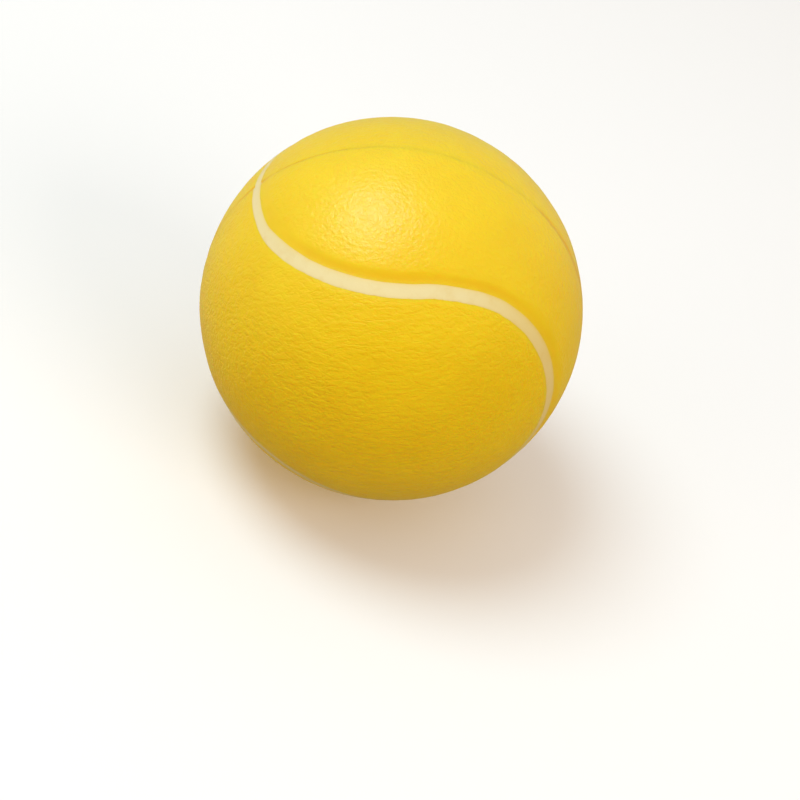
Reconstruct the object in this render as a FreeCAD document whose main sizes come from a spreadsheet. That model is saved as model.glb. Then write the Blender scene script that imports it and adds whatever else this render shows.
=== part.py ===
import FreeCAD, Part
import os

# Foam stress ball styled as a tennis ball. Millimetres, +Z up, origin at the centre of the ball.
# The mould's parting plane is y = 0. The seam is one closed channel of four equal lobes, two facing
# -Y and +Y with their tips towards +X, and two facing +Z and -Z with their tips towards -X.

DIMENSIONS = {
    "ball_radius": 35,       # outside of the skin
    "skin_wall": 3,          # thickness of the dense moulded skin
    "core_gap": 0.1,         # clearance that keeps the core and the skins separate solids
    "lobe_tilt": 12.5,       # degrees that each lobe's axis leans towards the lobe's tip
    "channel_depth": 0.5,    # bottom of the seam channel below the ball's surface
    "channel_round": 5.1,    # radius of the channel's round section
    "paint_gap": 0.05,       # clearance between the stripe and the channel's floor
    "paint_coat": 0.2,       # thickness of the painted stripe
    "brush_round": 1.4,      # half the width of the painted stripe
    "brush_shift": 1.4,      # degrees that the stripe lies off the channel's middle, towards the
                             # lobes that face -Y and +Y
    "parting_round": 0.3,    # radius of the parting groove's section
    "parting_depth": 0.2,    # depth of the parting groove
}

# The channel's centre line lies at track_radius from the ball's centre, track_angle from the lobe's
# axis, and bends from one lobe to the next half_sweep from the lobe's tip.
DERIVED = {
    "track_angle": "=acos(cos(lobe_tilt) / sqrt(2)) / 1deg",
    "half_sweep": "=acos(-sin(lobe_tilt) / (sqrt(2) * sin(track_angle))) / 1deg",
    "track_radius": "=ball_radius - channel_depth + channel_round",
}

QUARTERS = ("front", "top", "back", "bottom")
X_AXIS = FreeCAD.Vector(1, 0, 0)
ORIGIN = FreeCAD.Vector(0, 0, 0)

doc = FreeCAD.newDocument("StressBall")
sheet = doc.addObject("Spreadsheet::Sheet", "Sizes")
for row, (alias, value) in enumerate({**DIMENSIONS, **DERIVED}.items(), start=1):
    sheet.set(f"A{row}", alias)
    sheet.set(f"B{row}", str(value))
    sheet.setAlias(f"B{row}", alias)
doc.recompute()


def make(kind, label, **formulas):
    """A document object whose properties follow formulas in the sheet's cells."""
    made = doc.addObject(kind, label)
    made.Label = label
    for name, formula in formulas.items():
        made.setExpression(name, formula)
    return made


def half_ball(label, radius, turn):
    """Half of a ball, cut off at the parting plane: turn 90 keeps its -Y side and -90 its +Y side."""
    half = make("Part::Sphere", label, Radius=radius)
    half.Angle1 = 0
    half.Placement = FreeCAD.Placement(ORIGIN, FreeCAD.Rotation(X_AXIS, turn))
    return half


def seam_ring(label, tube, track="Sizes.track_radius", shift="0"):
    """A round cord of radius tube along the whole seam, one torus arc for each lobe, at distance track
    from the ball's centre and shift degrees off the channel's middle."""
    arcs = []
    for quarter, name in enumerate(QUARTERS):
        sign = "+" if quarter % 2 else "-"
        angle = f"(Sizes.track_angle {sign} {shift})"
        arc = make(
            "Part::Torus",
            f"{label}_{name}",
            Radius1=f"{track} * sin{angle}",
            Radius2=tube,
            Angle3="2 * Sizes.half_sweep",
        )
        # The arc starts on its local X axis, so it turns back by half its sweep, rises along the
        # lobe's axis, faces -Y, leans by the tilt, and then goes round to its own quarter.
        flip = 180 * (quarter % 2)
        arc.setExpression(
            "Placement",
            f"placement(vector(0; 0; 0); rotation(vector(1; 0; 0); {-90 * quarter})"
            f" * rotation(vector(0; 1; 0); {flip})"
            " * rotation(vector(0; 0; 1); Sizes.lobe_tilt)"
            " * rotation(vector(1; 0; 0); 90))"
            f" * placement(vector(0; 0; {track} * cos{angle});"
            " rotation(vector(0; 0; 1); -Sizes.half_sweep))",
        )
        arcs.append(arc)
    ring = doc.addObject("Part::MultiFuse", label)
    ring.Shapes = arcs
    return ring


def cut(label, base, tool):
    """base with tool taken away."""
    result = doc.addObject("Part::Cut", label)
    result.Label = label
    result.Base = base
    result.Tool = tool
    return result


def common(label, base, tool):
    """What base and tool share."""
    result = doc.addObject("Part::Common", label)
    result.Label = label
    result.Base = base
    result.Tool = tool
    return result


def foam_core():
    """The open-celled middle of the ball, one plain sphere."""
    return make("Part::Sphere", "foam_core", Radius="Sizes.ball_radius - Sizes.skin_wall - Sizes.core_gap")


def skin(side, turn, grooves):
    """One half of the dense skin, with its half of the channel and of the parting groove."""
    outside = half_ball(f"{side}_outside", "Sizes.ball_radius", turn)
    inside = make("Part::Sphere", f"{side}_inside", Radius="Sizes.ball_radius - Sizes.skin_wall")
    return cut(f"skin_{side}", cut(f"{side}_shell", outside, inside), grooves)


def stripe(side, turn, band):
    """One half of the painted band on the floor of the channel."""
    return common(f"seam_stripe_{side}", band, half_ball(f"{side}_reach", "Sizes.ball_radius", turn))


channel = seam_ring("channel", "Sizes.channel_round")
parting = make("Part::Torus", "parting", Radius2="Sizes.parting_round")
parting.setExpression("Radius1", "Sizes.ball_radius - Sizes.parting_depth + Sizes.parting_round")
parting.Placement = FreeCAD.Placement(ORIGIN, FreeCAD.Rotation(X_AXIS, 90))
grooves = doc.addObject("Part::MultiFuse", "grooves")
grooves.Shapes = [channel, parting]
coat = cut(
    "coat",
    seam_ring("coat_outside", "Sizes.channel_round - Sizes.paint_gap"),
    seam_ring("coat_inside", "Sizes.channel_round - Sizes.paint_gap - Sizes.paint_coat"),
)
channel_floor = "(Sizes.ball_radius - Sizes.channel_depth)"
brush = seam_ring("brush", "Sizes.brush_round", channel_floor, "Sizes.brush_shift")
band = common("band", coat, brush)

sub_parts = [foam_core()]
for side, turn in (("front", 90), ("back", -90)):
    sub_parts.append(skin(side, turn, grooves))
    sub_parts.append(stripe(side, turn, band))
doc.recompute()

for item in doc.Objects:
    if "Invalid" in item.State or "Error" in item.State:
        raise RuntimeError(f"{item.Label} failed: {item.State}")
os.makedirs("parts", exist_ok=True)
for item in sub_parts:
    if item.Shape.isNull() or not item.Shape.isValid():
        raise RuntimeError(f"{item.Label} has no valid shape")
    print(item.Label, "solids", len(item.Shape.Solids), "volume", round(item.Shape.Volume, 3))
for item in sub_parts:
    item.Shape.exportStep(f"parts/{item.Label}.step")
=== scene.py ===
import math

import bpy
import numpy as np
from mathutils import Matrix, Vector


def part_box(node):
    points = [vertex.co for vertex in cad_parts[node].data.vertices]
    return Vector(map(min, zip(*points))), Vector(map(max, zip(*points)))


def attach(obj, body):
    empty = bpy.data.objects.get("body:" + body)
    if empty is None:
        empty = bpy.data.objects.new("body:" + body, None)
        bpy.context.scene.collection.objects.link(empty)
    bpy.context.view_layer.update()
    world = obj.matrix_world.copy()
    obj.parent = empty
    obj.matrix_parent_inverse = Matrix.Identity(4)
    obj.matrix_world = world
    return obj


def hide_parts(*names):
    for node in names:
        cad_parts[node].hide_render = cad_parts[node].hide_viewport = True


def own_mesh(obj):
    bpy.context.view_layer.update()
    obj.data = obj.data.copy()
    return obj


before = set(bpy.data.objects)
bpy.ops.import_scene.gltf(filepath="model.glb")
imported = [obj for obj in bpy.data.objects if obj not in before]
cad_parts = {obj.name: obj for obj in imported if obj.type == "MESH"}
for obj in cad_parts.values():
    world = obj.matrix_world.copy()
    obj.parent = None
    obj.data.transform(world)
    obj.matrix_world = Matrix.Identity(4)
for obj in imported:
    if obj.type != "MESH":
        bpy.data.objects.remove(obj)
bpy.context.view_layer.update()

# Foam stress ball styled as a tennis ball. The origin is the centre of the ball, the mould's parting
# plane is y = 0, and the front half faces -Y. The seam is one closed line of four equal lobes.
# Places on the ball that blend() is given are shares of its radius along X, Y or Z.

# ---------------------------------------------------------------- sizes, in metres and radians
MM = 0.001
RADIUS = -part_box("skin_front")[0].y
CORE_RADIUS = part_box("foam_core")[1].x

LOBE_TILT = math.radians(12.5)      # each lobe's axis leans this far towards the lobe's tip
LOBE_ANGLE = math.acos(math.cos(LOBE_TILT) / math.sqrt(2))  # from a lobe's axis to its line
HALF_SWEEP = math.acos(-math.sin(LOBE_TILT) / (math.sqrt(2) * math.sin(LOBE_ANGLE)))
STRAY_LEFT = 0.8 * MM               # how far the seam strays from that line, by region
STRAY_RIGHT = 0.55 * MM
STRAY_LOW = 1.0 * MM

CHANNEL_DEPTH = 0.28 * MM
PAINTED_LIP = -2.4 * MM             # lips of the channel from its middle line, along the surface
PLAIN_LIP = 2.1 * MM
DEEPEST = 0.7 * MM                  # the channel's deepest line, on the same scale
PAINTED_CURVE = 1.2                 # power of the wall's curve on each side of the deepest line
PLAIN_CURVE = 1.5
LIP_SOFT = 0.10 * MM                # rounding of the lips

PAINT_MIDDLE = -1.0 * MM            # middle of the painted band from the middle of the channel
PAINT_HALF = 1.40 * MM
PAINT_HALF_BACK = 1.1 * MM          # the band is thinner on the back half
PAINT_NARROWING = 0.22              # share of its width that the band loses at the left crossing
PAINT_LIFT = 0.015 * MM             # the paint film above the skin that it covers
PAINT_DIP = 0.15 * MM               # the film sinks into the skin over about this far from its edge
PAINT_ROOT = 0.15 * MM              # the film's hidden underside below the skin
THIN_UPPER = 0.30 * MM              # width of the thin paint along the band's two edges
THIN_LOWER = 0.15 * MM
TRACK_STEP = 0.25 * MM              # spacing of the rows of points along the band

GROOVE_HALF = 0.30 * MM             # parting groove, middle to edge
GROOVE_DEPTH = 0.10 * MM
GROOVE_REACH = 5 * MM               # the groove is worn this far out from the channel
PAINTED_SHADE_SPREAD = 1.4                  # width of the painted shade in the groove, next to the groove's own

PANEL_CHANGE = 2 * MM               # one grain gives way to the other this far each side of the seam
GRAIN_START = 2.0 * MM              # the grain fades in between these distances from the seam
GRAIN_FULL = 3.2 * MM
LOWER_GRAIN = 0.4                   # the grain is this much coarser on the lower half
WALL_SHADE = 0.4                    # painted shade on the channel's plain wall
WALL_START, WALL_FULL = 0.1 * MM, 0.4 * MM
WALL_FADE, WALL_END = 1.4 * MM, 2.2 * MM

CORE_SUNK = 0.1 * MM                # the foam's highest cells below the CAD core
LINING_GAP = 0.1 * MM               # between the CAD core and the inside of the skin

FACE_CELLS = 220                    # grid cells along a quarter of the ball's girth
RIM_CROWDING = 0.75                 # how strongly the rows of cells crowd towards the parting
STRIPE_CELLS = 14                   # grid cells across the painted band
INNER_RINGS = 12                    # rings of points that line a skin half on the inside

# Random unevenness, each with its amount, wavelength, seed and number of waves
RIPPLES = {
    "channel": (0.05 * MM, 9 * MM, 3, 32),
    "groove_width": (0.3, 4 * MM, 5, 32),
    "groove_line": (0.06 * MM, 8 * MM, 6, 32),
    "groove_depth": (0.5, 5 * MM, 7, 32),
    "skin_broad": (0.04 * MM, 16 * MM, 11, 32),
    "skin_fine": (0.012 * MM, 3.2 * MM, 13, 64),
    "paint_lower": (0.045 * MM, 3.4 * MM, 21, 32),
    "paint_lower_fine": (0.02 * MM, 1.1 * MM, 22, 32),
    "paint_upper": (0.04 * MM, 4.1 * MM, 23, 32),
    "foam": (0.12 * MM, 1.6 * MM, 31, 32),
}
WAVELENGTHS = (0.7, 1.5)            # spread of the single waves about a ripple's own wavelength

# ---------------------------------------------------------------- looks
SKIN_DEEP = (0.855, 0.575, 0.002, 1)
SKIN_LIGHT = (0.885, 0.62, 0.004, 1)
# Deeper orange of the painted shade in the parting groove and on the channel's plain wall
PAINTED_SHADE_TINT = (0.84, 0.43, 0.002, 1)
PAINT_CREAM = (0.80, 0.67, 0.37, 1)
PAINT_TAN = (0.76, 0.59, 0.27, 1)
PAINT_THIN = (0.80, 0.56, 0.12, 1)
# The foam's colour, with painted shade towards the middle of each cell, where its pit is
FOAM_PIT_SHADE = (0.70, 0.42, 0.03, 1)
FOAM_LIGHT = (0.93, 0.72, 0.20, 1)
FLOOR_COLOUR = (0.96, 0.935, 0.99, 1)

GRAIN_TURN = math.radians(16.7)     # the long creases rise this far from +X towards +Z
GRAIN_STRETCH = (0.45, 1.0, 1.0)    # the long creases are stretched along X
CREASE_WIDTH = 0.10                 # share of the noise's range that a crease takes up
LUMP_HEIGHT = 0.13                  # height of the grain's lumps, in millimetres

# ---------------------------------------------------------------- stage
FLOOR_RADIUS = 3
DOME_LOW = (0.38, 0.29, 0.13, 1)    # light from below is warm, as it comes off a palm
DOME_HIGH = (0.60, 0.564, 0.504, 1)
DOME_SPREAD = 0.35                  # the dome changes this far below and above its middle

CAMERA_AZIMUTH = -7.38              # in degrees
CAMERA_ELEVATION = 36.2
CAMERA_ROLL = 20.72
CAMERA_DISTANCE = 10.74 * RADIUS
CAMERA_LENS = 92.1
AIM_RIGHT = 0.0446 * RADIUS         # the camera looks at a point beside and below the ball's centre
AIM_UP = -0.475 * RADIUS

# Round soft boxes: the way to each one along the camera's right, up and back, its distance and
# width in metres, its power, its colour, and whether the ball's gloss shows it
LIGHTS = {
    "Key": ((-0.17, 0.81, 0.56), 0.9, 0.5, 4.0, (0.79, 0.99, 1.0), True),
    "Fill": ((0.70, -0.20, 0.62), 1.1, 0.9, 5.4, (1.0, 0.93, 0.82), False),
    "Side": ((-0.88, -0.14, 0.45), 1.1, 0.9, 8.3, (1.0, 0.90, 0.78), False),
}


# ---------------------------------------------------------------- curves and ripples
def ramp(value, low, high):
    """0 where value is at low, 1 where it is at high, and even between."""
    return np.clip((value - low) / (high - low), 0, 1)


def blend(value, low, high):
    """0 where value is at low, 1 where it is at high, and a smooth change between."""
    share = ramp(value, low, high)
    return share * share * (3 - 2 * share)


def soft_low(a, b, soft):
    """The lower of a and b, rounded where they cross."""
    close = np.maximum(soft - np.abs(a - b), 0)
    return np.minimum(a, b) - close * close / (4 * soft)


def ripple(points, name):
    """Smooth random unevenness at each point, about zero."""
    amount, size, seed, count = RIPPLES[name]
    rng = np.random.default_rng(seed)
    ways = rng.normal(size=(count, 3))
    ways /= np.linalg.norm(ways, axis=1)[:, None]
    rates = 2 * math.pi / (size * rng.uniform(*WAVELENGTHS, count))
    phases = rng.uniform(0, 2 * math.pi, count)
    return amount * np.cos(points @ (ways * rates[:, None]).T + phases).sum(1) / math.sqrt(count)


# ---------------------------------------------------------------- the seam
def make_lobes():
    """Axis, tip direction and panel of the lobes that face -Y, +Y, +Z and -Z. The panel is -1 where
    the lobe bounds the panel on its own side, front or back, and 1 on the other two."""
    s, c = math.sin(LOBE_TILT), math.cos(LOBE_TILT)
    return [
        (np.array((s, -c, 0)), np.array((c, s, 0)), -1),
        (np.array((s, c, 0)), np.array((c, -s, 0)), -1),
        (np.array((-s, 0, c)), np.array((-c, 0, -s)), 1),
        (np.array((-s, 0, -c)), np.array((-c, 0, s)), 1),
    ]


FRONT_LOBE, BACK_LOBE, TOP_LOBE, BOTTOM_LOBE = LOBES = make_lobes()


def seam_wander(directions):
    """How far the moulded seam strays from its ideal line, in metres."""
    x, z = directions[..., 0], directions[..., 2]
    left = blend(-x, 0.74, 0.88)
    right = blend(x, 0.15, 0.45)
    low = blend(-z, -0.4, 0.1) * blend(x, 0.3, 0.7)
    return STRAY_LEFT * left + STRAY_RIGHT * right + STRAY_LOW * low


def seam_distance(directions):
    """Distance along the surface from each direction to the seam's middle line, in metres. It is
    negative on the panel that faces -Y and +Y."""
    nearest = np.full(len(directions), math.pi)
    for axis, tip, panel in LOBES:
        turn = np.arctan2(directions @ np.cross(axis, tip), directions @ tip)
        away = np.arccos(np.clip(directions @ axis, -1, 1)) - LOBE_ANGLE
        near = (np.abs(turn) <= HALF_SWEEP + 1e-6) & (np.abs(away) < np.abs(nearest))
        nearest[near] = -panel * away[near]
    return nearest * RADIUS - seam_wander(directions)


def seam_track(side, spacing):
    """Directions along the seam's half on one side of y = 0, from the upper crossing to the lower one,
    each with the direction across it, towards the panel that faces +Z and -Z."""
    outward_way, down = np.array((0, side, 0)), np.array((0, 0, -1))
    facing = FRONT_LOBE if side < 0 else BACK_LOBE
    stretches = (
        (TOP_LOBE, outward_way, 0, 1),
        (facing, down, -1, 1),
        (BOTTOM_LOBE, outward_way, 1, 0),
    )
    middle, across = [], []
    for (axis, tip, panel), way, start, end in stretches:
        beside = np.cross(axis, tip)
        if beside @ way < 0:
            beside = -beside
        length = abs(end - start) * HALF_SWEEP * RADIUS * math.sin(LOBE_ANGLE)
        turns = np.linspace(start, end, round(length / spacing) + 1)[:, None] * HALF_SWEEP
        out = np.cos(turns) * tip + np.sin(turns) * beside
        place = math.cos(LOBE_ANGLE) * axis + math.sin(LOBE_ANGLE) * out
        inward = math.cos(LOBE_ANGLE) * out - math.sin(LOBE_ANGLE) * axis
        skip = 1 if middle else 0
        middle.append(place[skip:])
        across.append((-panel * inward)[skip:])
    return np.concatenate(middle), np.concatenate(across)


# ---------------------------------------------------------------- the skin's surface
def channel_height(across):
    """Height of the skin about the seam, from the ball's surface, at a signed distance across it."""
    lip = np.where(across < DEEPEST, PAINTED_LIP, PLAIN_LIP)
    curve = np.where(across < DEEPEST, PAINTED_CURVE, PLAIN_CURVE)
    bowl = -CHANNEL_DEPTH * (1 - np.abs((across - DEEPEST) / (lip - DEEPEST)) ** curve)
    return soft_low(np.zeros_like(across), bowl, LIP_SOFT)


def wall_share(directions):
    """1 where the channel is at its full depth, falling where the mould is worn."""
    x, y, z = directions.T
    left = blend(-x, 0.50, 0.75)
    right = blend(x, 0.45, 0.70)
    low = blend(-z, 0.0, 0.3) * blend(-y, 0.1, 0.4)
    return (1 - 0.75 * left) * (1 - 0.5 * right) * (1 - 0.9 * low)


def parting_groove(points, across, spread=1.0):
    """Depth of the parting groove, from 0 to about 1.5. It is ragged, wider and deeper beside the
    channel, and plainest on the ball's upper right. Spread widens it."""
    x, z = points[:, 0] / RADIUS, points[:, 2] / RADIUS
    beside = np.exp(-((across / GROOVE_REACH) ** 2))
    left = blend(-x, 0.35, 0.75)
    right = blend(x, 0.35, 0.65)
    upper_right = right * (0.3 + 0.7 * blend(z, 0.1, 0.45))
    half = spread * GROOVE_HALF * (0.8 + 0.7 * np.maximum(beside, right))
    half *= 1 + ripple(points, "groove_width")
    ragged = (1 - 0.7 * right) * ripple(points, "groove_depth")
    depth = (0.15 + 0.6 * left + 0.9 * upper_right) * np.clip(0.8 + ragged + 0.5 * beside, 0.2, 1.5)
    return depth * np.exp(-(((points[:, 1] - ripple(points, "groove_line")) / half) ** 2))


def skin_height(directions):
    """Height of the finished skin above the ball's sphere."""
    points = directions * RADIUS
    across = seam_distance(directions) + ripple(points, "channel")
    height = channel_height(across) * wall_share(directions)
    height -= GROOVE_DEPTH * parting_groove(points, across)
    return height + ripple(points, "skin_broad") + ripple(points, "skin_fine")


def skin_numbers(directions):
    """What the skin's material reads at each point: its panel (1 at the top and bottom), how strong
    its grain is, and how much painted shade tints it deeper orange in the parting groove and on the
    channel's plain wall."""
    across = seam_distance(directions)
    grain = ramp(np.abs(across), GRAIN_START, GRAIN_FULL)
    grain *= 1 + LOWER_GRAIN * blend(-directions[:, 2], -0.4, -0.05)
    # Painted shade in the parting groove
    painted_shade = np.clip(1.5 * parting_groove(directions * RADIUS, across, PAINTED_SHADE_SPREAD), 0, 1)
    # Painted shade on the channel's plain wall, which faces away from the light
    wall = ramp(across, WALL_START, WALL_FULL) * (1 - ramp(across, WALL_FADE, WALL_END))
    return {
        "panel": blend(across, -PANEL_CHANGE, PANEL_CHANGE),
        "grain": grain,
        "painted_shade": np.maximum(painted_shade, WALL_SHADE * wall * wall_share(directions)),
    }


# ---------------------------------------------------------------- meshes
def grid_faces(rows, columns, first=0):
    """Quads of a grid of rows by columns points, numbered from first."""
    r, c = np.meshgrid(np.arange(rows - 1), np.arange(columns - 1), indexing="ij")
    a = (first + r * columns + c).ravel()
    return np.stack([a, a + 1, a + columns + 1, a + columns], 1)


def keep_number(mesh, name, values):
    """Keeps one number a point in the mesh, for a material to read."""
    mesh.attributes.new(name, "FLOAT", "POINT").data.foreach_set("value", values.astype(np.float32))


def mesh_object(name, points, quads, corner=None):
    """A smooth-shaded mesh object, with each point's place at rest kept for its material. Edges whose
    two points have the same mark in corner stay sharp, unless the mark is 0."""
    mesh = bpy.data.meshes.new(name)
    mesh.vertices.add(len(points))
    mesh.vertices.foreach_set("co", points.astype(np.float32).ravel())
    mesh.loops.add(4 * len(quads))
    mesh.loops.foreach_set("vertex_index", quads.astype(np.int32).ravel())
    mesh.polygons.add(len(quads))
    mesh.polygons.foreach_set("loop_start", np.arange(0, 4 * len(quads), 4, dtype=np.int32))
    mesh.update(calc_edges=True)
    mesh.validate()
    mesh.shade_smooth()
    if corner is not None:
        ends = np.empty(2 * len(mesh.edges), np.int32)
        mesh.edges.foreach_get("vertices", ends)
        first, second = corner[ends].reshape(-1, 2).T
        sharp = (first > 0) & (first == second)
        mesh.attributes.new("sharp_edge", "BOOLEAN", "EDGE").data.foreach_set("value", sharp)
    rest = mesh.attributes.new("rest", "FLOAT_VECTOR", "POINT")
    rest.data.foreach_set("vector", points.astype(np.float32).ravel())
    piece = bpy.data.objects.new(name, mesh)
    bpy.context.scene.collection.objects.link(piece)
    return piece


def merge(points, quads):
    """The same grid with points that share a place joined into one."""
    keys = np.round(points / 1e-7).astype(np.int64)
    _, first, index = np.unique(keys, axis=0, return_index=True, return_inverse=True)
    return points[first], index.ravel()[quads]


def outward(points, quads):
    """The quads, each wound so that it faces away from the origin."""
    corners = points[quads]
    normal = np.cross(corners[:, 2] - corners[:, 0], corners[:, 3] - corners[:, 1])
    inside = np.einsum("ij,ij->i", normal, corners.mean(1)) < 0
    quads = quads.copy()
    quads[inside] = quads[inside][:, ::-1]
    return quads


def half_directions(side):
    """Directions and quads of half a ball, on the side (-1 or +1) of y = 0: one face of a cube pushed
    out to the sphere, and the near halves of its four neighbours, which get finer at the parting."""
    face = np.tan(np.linspace(-1, 1, FACE_CELLS + 1) * math.pi / 4)
    rise = np.linspace(0, 1, FACE_CELLS // 2 + 1)
    rise = rise - RIM_CROWDING * np.sin(math.pi * rise) / math.pi * (1 - rise)
    a, b = np.meshgrid(face, face, indexing="ij")
    grids = [np.stack([a, np.full_like(a, side), side * b], -1)]
    a, b = np.meshgrid(face, np.tan(rise * math.pi / 4), indexing="ij")
    for quarter in range(4):
        turn = quarter * math.pi / 2
        out_x, out_z = math.cos(turn), math.sin(turn)
        grids.append(np.stack([out_x - a * out_z, side * b, out_z + a * out_x], -1)[::side])
    quads, first = [], 0
    for grid in grids:
        rows, columns = grid.shape[:2]
        quads.append(grid_faces(rows, columns, first))
        first += rows * columns
    points = np.concatenate([grid.reshape(-1, 3) for grid in grids])
    points /= np.linalg.norm(points, axis=1)[:, None]
    return merge(points, np.concatenate(quads))


# ---------------------------------------------------------------- pieces
def make_lining(rim, rim_directions, first, side):
    """The inside of a skin half: rings of points next to the foam, numbered from first, and the quads
    that join them to each other and to the rim. A small hole is left at the hidden pole."""
    rings, quads, previous = [], [], rim
    for step in range(INNER_RINGS):
        rise = step / INNER_RINGS * math.pi / 2
        ring = rim_directions * math.cos(rise) + np.array((0, side * math.sin(rise), 0))
        numbers = first + step * len(rim) + np.arange(len(rim))
        rings.append(ring * (CORE_RADIUS + LINING_GAP))
        quads.append(np.stack([previous, np.roll(previous, -1), np.roll(numbers, -1), numbers], 1))
        previous = numbers
    return np.concatenate(rings), np.concatenate(quads)


def make_skin(side_name, side):
    """Half of the skin, with its channel, parting groove and slightly uneven surface, and its inside
    next to the foam."""
    directions, quads = half_directions(side)
    outside = directions * (RADIUS + skin_height(directions))[:, None]
    rim = np.flatnonzero(np.abs(directions[:, 1]) < 1e-9)
    rim = rim[np.argsort(np.arctan2(directions[rim, 2], directions[rim, 0]))]
    lining, lining_quads = make_lining(rim, directions[rim], len(outside), side)
    points = np.concatenate([outside, lining])
    lining_quads = outward(points, lining_quads)[:, ::-1]
    corner = np.zeros(len(points), np.int32)
    corner[rim] = 1
    quads = np.concatenate([outward(outside, quads), lining_quads])
    skin = mesh_object(f"Skin_{side_name}", points, quads, corner)
    for name, values in skin_numbers(directions).items():
        keep_number(skin.data, name, np.concatenate([values, np.zeros(len(lining))]))
    return skin


def make_stripe(side_name, side):
    """Half of the painted band: a film that follows the channel's floor and its painted wall."""
    middle, across = seam_track(side, TRACK_STEP)
    track = middle * RADIUS
    half = PAINT_HALF if side < 0 else PAINT_HALF_BACK
    half = half * (1 - PAINT_NARROWING * blend(-middle[:, 0], 0.68, 0.80))
    lower = PAINT_MIDDLE - half + ripple(track, "paint_lower") + ripple(track, "paint_lower_fine")
    upper = PAINT_MIDDLE + half + ripple(track, "paint_upper")
    width = (upper - lower)[:, None]
    share = np.linspace(0, 1, STRIPE_CELLS + 1)
    from_lower, from_upper = width * share, width * (1 - share)
    offset = lower[:, None] + from_lower + seam_wander(middle)[:, None]
    angle = (offset / RADIUS)[..., None]
    grid = np.cos(angle) * middle[:, None] + np.sin(angle) * across[:, None]
    directions = grid.reshape(-1, 3)
    skin_level = RADIUS + skin_height(directions)
    edge = np.minimum(from_lower, from_upper)
    lift = PAINT_LIFT * (1 - 2 * np.exp(-edge / PAINT_DIP))
    surface = (directions * (skin_level + lift.ravel())[:, None]).reshape(grid.shape)
    under = (directions * (skin_level - PAINT_ROOT)[:, None]).reshape(grid.shape)

    # The rows of points run over the surface and back along the underside, as closed loops
    loops = np.concatenate([surface, under[:, ::-1]], 1)
    rows, around = loops.shape[:2]
    quads = grid_faces(rows, around + 1)
    quads = quads // (around + 1) * around + quads % (around + 1) % around
    corner = np.zeros((rows, around), np.int32)
    corner[:, 0] = 1
    corner[:, STRIPE_CELLS] = 2
    stripe = mesh_object(f"Seam_stripe_{side_name}", loops.reshape(-1, 3), quads, corner.ravel())
    dry = 0.4 * blend(middle[:, :1], 0.15, 0.6)
    thin = np.exp(-from_upper / THIN_UPPER) + 0.9 * np.exp(-from_lower / THIN_LOWER) + dry
    keep_number(stripe.data, "thin", np.concatenate([thin, thin[:, ::-1]], 1).ravel())
    return stripe


def make_core():
    """The foam middle: a closed lumpy ball of open cells, just inside the skin."""
    front, front_quads = half_directions(-1)
    back, back_quads = half_directions(1)
    quads = np.concatenate([front_quads, back_quads + len(front)])
    directions, quads = merge(np.concatenate([front, back]), quads)
    sunk = CORE_SUNK + np.abs(ripple(directions * CORE_RADIUS, "foam"))
    points = directions * (CORE_RADIUS - sunk)[:, None]
    return mesh_object("Foam_core", points, outward(directions, quads))


# ---------------------------------------------------------------- materials
class Shader:
    """A Principled material with helpers that add and join nodes. Whatever a helper takes as an input
    is either a value or another node's output."""

    def __init__(self, name):
        self.material = bpy.data.materials.new(name)
        self.material.use_nodes = True
        self.tree = self.material.node_tree
        self.main = self.tree.nodes["Principled BSDF"]

    def feed(self, target, value):
        if isinstance(value, bpy.types.NodeSocket):
            self.tree.links.new(value, target)
        else:
            target.default_value = value

    def surface(self, inputs):
        """Sets the inputs of the Principled shader itself."""
        for name, value in inputs.items():
            self.feed(self.main.inputs[name], value)

    def add(self, kind, inputs=None, **settings):
        node = self.tree.nodes.new(kind)
        for key, value in settings.items():
            setattr(node, key, value)
        for key, value in (inputs or {}).items():
            self.feed(node.inputs[key], value)
        return node

    def rest(self):
        """Each point's place on the piece at rest."""
        return self.add("ShaderNodeAttribute", attribute_name="rest").outputs["Vector"]

    def kept(self, name):
        """A number that keep_number() put in the mesh."""
        return self.add("ShaderNodeAttribute", attribute_name=name).outputs["Fac"]

    def noise(self, where, size, detail=2.0, rough=0.5):
        inputs = {"Vector": where, "Scale": 1 / size, "Detail": detail, "Roughness": rough}
        return self.add("ShaderNodeTexNoise", inputs).outputs["Fac"]

    def ramp(self, value, low, high, out_low=0.0, out_high=1.0):
        inputs = {"Value": value, "From Min": low, "From Max": high, "To Min": out_low, "To Max": out_high}
        return self.add("ShaderNodeMapRange", inputs).outputs["Result"]

    def maths(self, operation, a, b=0.0):
        return self.add("ShaderNodeMath", {0: a, 1: b}, operation=operation).outputs[0]

    def mix(self, share, a, b):
        """Colour a where share is 0 and b where it is 1."""
        inputs = {"Factor": share, 6: a, 7: b}
        return self.add("ShaderNodeMix", inputs, data_type="RGBA").outputs[2]

    def bump(self, height, strength, distance):
        inputs = {"Height": height, "Strength": strength, "Distance": distance}
        return self.add("ShaderNodeBump", inputs).outputs["Normal"]

    def creases(self, where, size):
        """0 along a net of wandering creases about size apart, rising to 1 between them."""
        line = self.noise(where, size, 2.0, 0.55)
        away = self.maths("ABSOLUTE", self.maths("SUBTRACT", line, 0.5))
        return self.ramp(away, 0.0, CREASE_WIDTH)

    def leather(self, where, crease_size, crease_depth, lump_size, detail, rough):
        """Height of leather grain in millimetres: creases, and lumps between and across them."""
        net = self.maths("MULTIPLY", self.creases(where, crease_size), crease_depth)
        lumps = self.maths("MULTIPLY", self.noise(where, lump_size, detail, rough), LUMP_HEIGHT)
        return self.maths("ADD", net, lumps)


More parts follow.
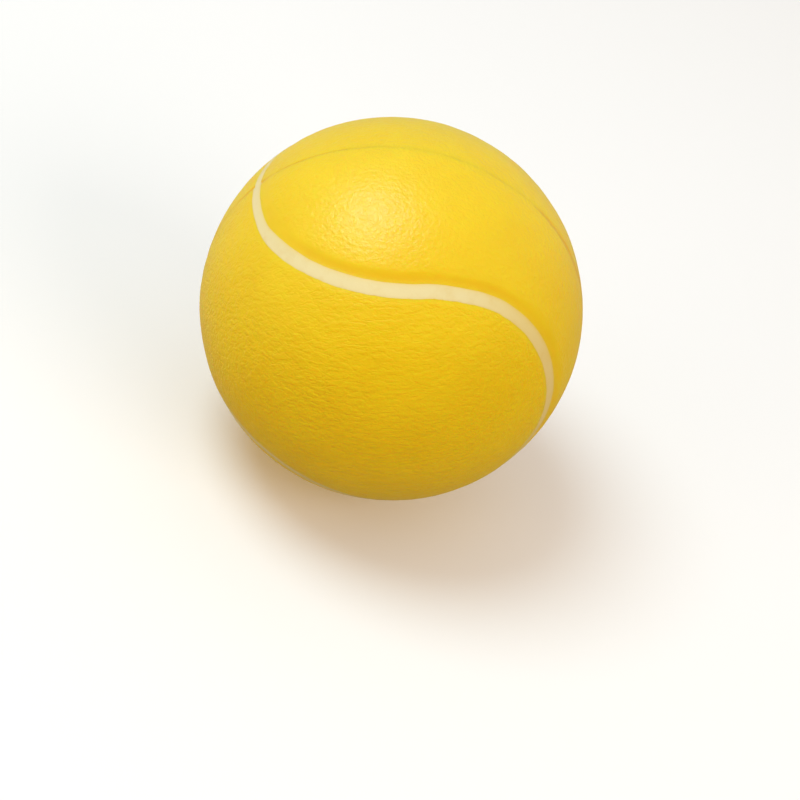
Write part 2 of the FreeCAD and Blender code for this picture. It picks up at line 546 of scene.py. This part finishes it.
def skin_grain(shader, where):
    """Height of the skin's moulded grain, in millimetres: long creases roughly along X on the panel
    that faces -Y and +Y, and finer, rounder cells on the other one."""
    turn = {"Vector": where, "Angle": GRAIN_TURN}
    turned = shader.add("ShaderNodeVectorRotate", turn, rotation_type="Y_AXIS").outputs[0]
    stretch = {0: turned, 1: GRAIN_STRETCH}
    long_way = shader.add("ShaderNodeVectorMath", stretch, operation="MULTIPLY").outputs[0]
    streaks = shader.leather(long_way, 1.5 * MM, 0.038, 0.8 * MM, 3.0, 0.6)
    cells = shader.leather(where, 1.0 * MM, 0.016, 0.75 * MM, 1.5, 0.5)
    panel = shader.kept("panel")
    streaks = shader.maths("MULTIPLY", streaks, shader.maths("SUBTRACT", 1.0, panel))
    height = shader.maths("ADD", streaks, shader.maths("MULTIPLY", cells, panel))
    return shader.maths("MULTIPLY", height, shader.kept("grain"))


def skin_material():
    """Yellow integral-skin foam: saturated, softly glossy, with leather grain, and with painted shade in
    its parting groove and on the channel's plain wall.
    """
    shader = Shader("Yellow_foam_skin")
    where = shader.rest()
    mottle = shader.ramp(shader.noise(where, 11 * MM, 3.0, 0.55), 0.3, 0.7)
    colour = shader.mix(mottle, SKIN_DEEP, SKIN_LIGHT)
    # Painted shade: the parting groove and the channel's plain wall are mixed towards a deeper orange
    painted_shade = shader.maths("MULTIPLY", shader.kept("painted_shade"), 0.75)
    shader.surface({
        "Base Color": shader.mix(painted_shade, colour, PAINTED_SHADE_TINT),
        "Roughness": shader.ramp(shader.noise(where, 1.2 * MM), 0.3, 0.7, 0.34, 0.44),
        "Specular IOR Level": 0.55,
        "Subsurface Weight": 0.5,
        "Subsurface Radius": (1.0, 0.45, 0.1),
        "Subsurface Scale": 1.2 * MM,
        "Normal": shader.bump(skin_grain(shader, where), 1.0, 1 * MM),
    })
    return shader.material


def paint_material():
    """Cream paint brushed into the channel: matte, with a few tan patches and thin edges."""
    shader = Shader("Cream_seam_paint")
    where = shader.rest()
    patches = shader.ramp(shader.noise(where, 3.4 * MM, 4.0, 0.6), 0.5, 0.8)
    colour = shader.mix(patches, PAINT_CREAM, PAINT_TAN)
    shader.surface({
        "Base Color": shader.mix(shader.kept("thin"), colour, PAINT_THIN),
        "Roughness": shader.ramp(patches, 0.0, 1.0, 0.55, 0.68),
        "Normal": shader.bump(shader.noise(where, 0.45 * MM, 3.0, 0.6), 0.25, 0.05 * MM),
    })
    return shader.material


def foam_material():
    """Open-celled pale yellow foam, with painted shade darkening the pits of its cells."""
    shader = Shader("Open_cell_foam")
    cells = shader.add("ShaderNodeTexVoronoi", {"Vector": shader.rest(), "Scale": 1 / (0.6 * MM)})
    pit = shader.ramp(cells.outputs["Distance"], 0.1, 0.6)
    shader.surface({
        # Painted shade: darker towards the middle of each cell, in its pit
        "Base Color": shader.mix(pit, FOAM_PIT_SHADE, FOAM_LIGHT),
        "Roughness": 0.9,
        "Normal": shader.bump(pit, 0.8, 0.2 * MM),
    })
    return shader.material


def floor_material():
    """Plain pale studio floor."""
    shader = Shader("Pale_floor")
    shader.surface({"Base Color": FLOOR_COLOUR, "Roughness": 0.85})
    return shader.material


# ---------------------------------------------------------------- scene
def place_piece(piece, node, body, material):
    """Puts a piece in place of its CAD node, on the body of its half of the ball."""
    piece.data.materials.append(material)
    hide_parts(node)
    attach(piece, body)
    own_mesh(piece)


def camera_axes():
    """Right, up and back directions of the camera."""
    a, e, r = (math.radians(v) for v in (CAMERA_AZIMUTH, CAMERA_ELEVATION, CAMERA_ROLL))
    back = Vector((math.sin(a) * math.cos(e), -math.cos(a) * math.cos(e), math.sin(e)))
    level = Vector((0, 0, 1)).cross(back).normalized()
    steep = back.cross(level)
    right = level * math.cos(r) + steep * math.sin(r)
    return right, back.cross(right), back


def add_camera():
    """A camera at the photographer's viewing angle, aimed so that the ball sits as it was framed."""
    right, up, back = camera_axes()
    lens = bpy.data.cameras.new("Camera")
    lens.lens = CAMERA_LENS
    lens.clip_start = 10 * MM
    camera = bpy.data.objects.new("Camera", lens)
    place = back * CAMERA_DISTANCE
    aim = right * AIM_RIGHT + up * AIM_UP
    away = (place - aim).normalized()
    beside = up.cross(away).normalized()
    turn = Matrix((beside, away.cross(beside), away)).transposed()
    camera.matrix_world = Matrix.Translation(place) @ turn.to_4x4()
    bpy.context.scene.collection.objects.link(camera)
    bpy.context.scene.camera = camera


def add_light(name, way, distance, size, power, colour, glossy):
    """A round soft box that faces the ball."""
    lamp = bpy.data.lights.new(name, "AREA")
    lamp.shape = "DISK"
    lamp.size = size
    lamp.energy = power
    lamp.color = colour
    place = sum((axis * share for axis, share in zip(camera_axes(), way)), Vector()).normalized() * distance
    holder = bpy.data.objects.new(name, lamp)
    holder.location = place
    holder.rotation_mode = "QUATERNION"
    holder.rotation_quaternion = (-place).to_track_quat("-Z", "Y")
    holder.visible_glossy = glossy
    bpy.context.scene.collection.objects.link(holder)


def add_floor():
    """A plain pale floor, which doesn't tint the ball."""
    bpy.ops.mesh.primitive_circle_add(
        vertices=96, radius=FLOOR_RADIUS, fill_type="NGON", location=(0, 0, -RADIUS)
    )
    floor = bpy.context.object
    floor.name = "Floor"
    floor.data.materials.append(floor_material())
    floor.visible_glossy = False
    floor.visible_diffuse = False


def add_world():
    """A studio dome, warm below and paler and brighter towards the camera's up direction."""
    world = bpy.data.worlds.new("Studio")
    bpy.context.scene.world = world
    world.use_nodes = True
    nodes, links = world.node_tree.nodes, world.node_tree.links
    height = nodes.new("ShaderNodeVectorMath")
    height.operation = "DOT_PRODUCT"
    links.new(nodes.new("ShaderNodeTexCoord").outputs["Generated"], height.inputs[0])
    height.inputs[1].default_value = camera_axes()[1]
    share = nodes.new("ShaderNodeMapRange")
    share.inputs["From Min"].default_value = -DOME_SPREAD
    share.inputs["From Max"].default_value = DOME_SPREAD
    links.new(height.outputs["Value"], share.inputs["Value"])
    light = nodes.new("ShaderNodeMix")
    light.data_type = "RGBA"
    links.new(share.outputs["Result"], light.inputs["Factor"])
    light.inputs[6].default_value = DOME_LOW
    light.inputs[7].default_value = DOME_HIGH
    links.new(light.outputs[2], nodes["Background"].inputs["Color"])
    nodes["Background"].inputs["Strength"].default_value = 1


skin_look = skin_material()
paint_look = paint_material()
for side_name, side in (("front", -1), ("back", 1)):
    body = f"{side_name}_half"
    skin = make_skin(side_name, side)
    place_piece(skin, f"skin_{side_name}", body, skin_look)
    stripe = make_stripe(side_name, side)
    place_piece(stripe, f"seam_stripe_{side_name}", body, paint_look)
place_piece(make_core(), "foam_core", "back_half", foam_material())

add_world()
add_floor()
for name, settings in LIGHTS.items():
    add_light(name, *settings)
add_camera()
bpy.context.scene.view_settings.view_transform = "Standard"
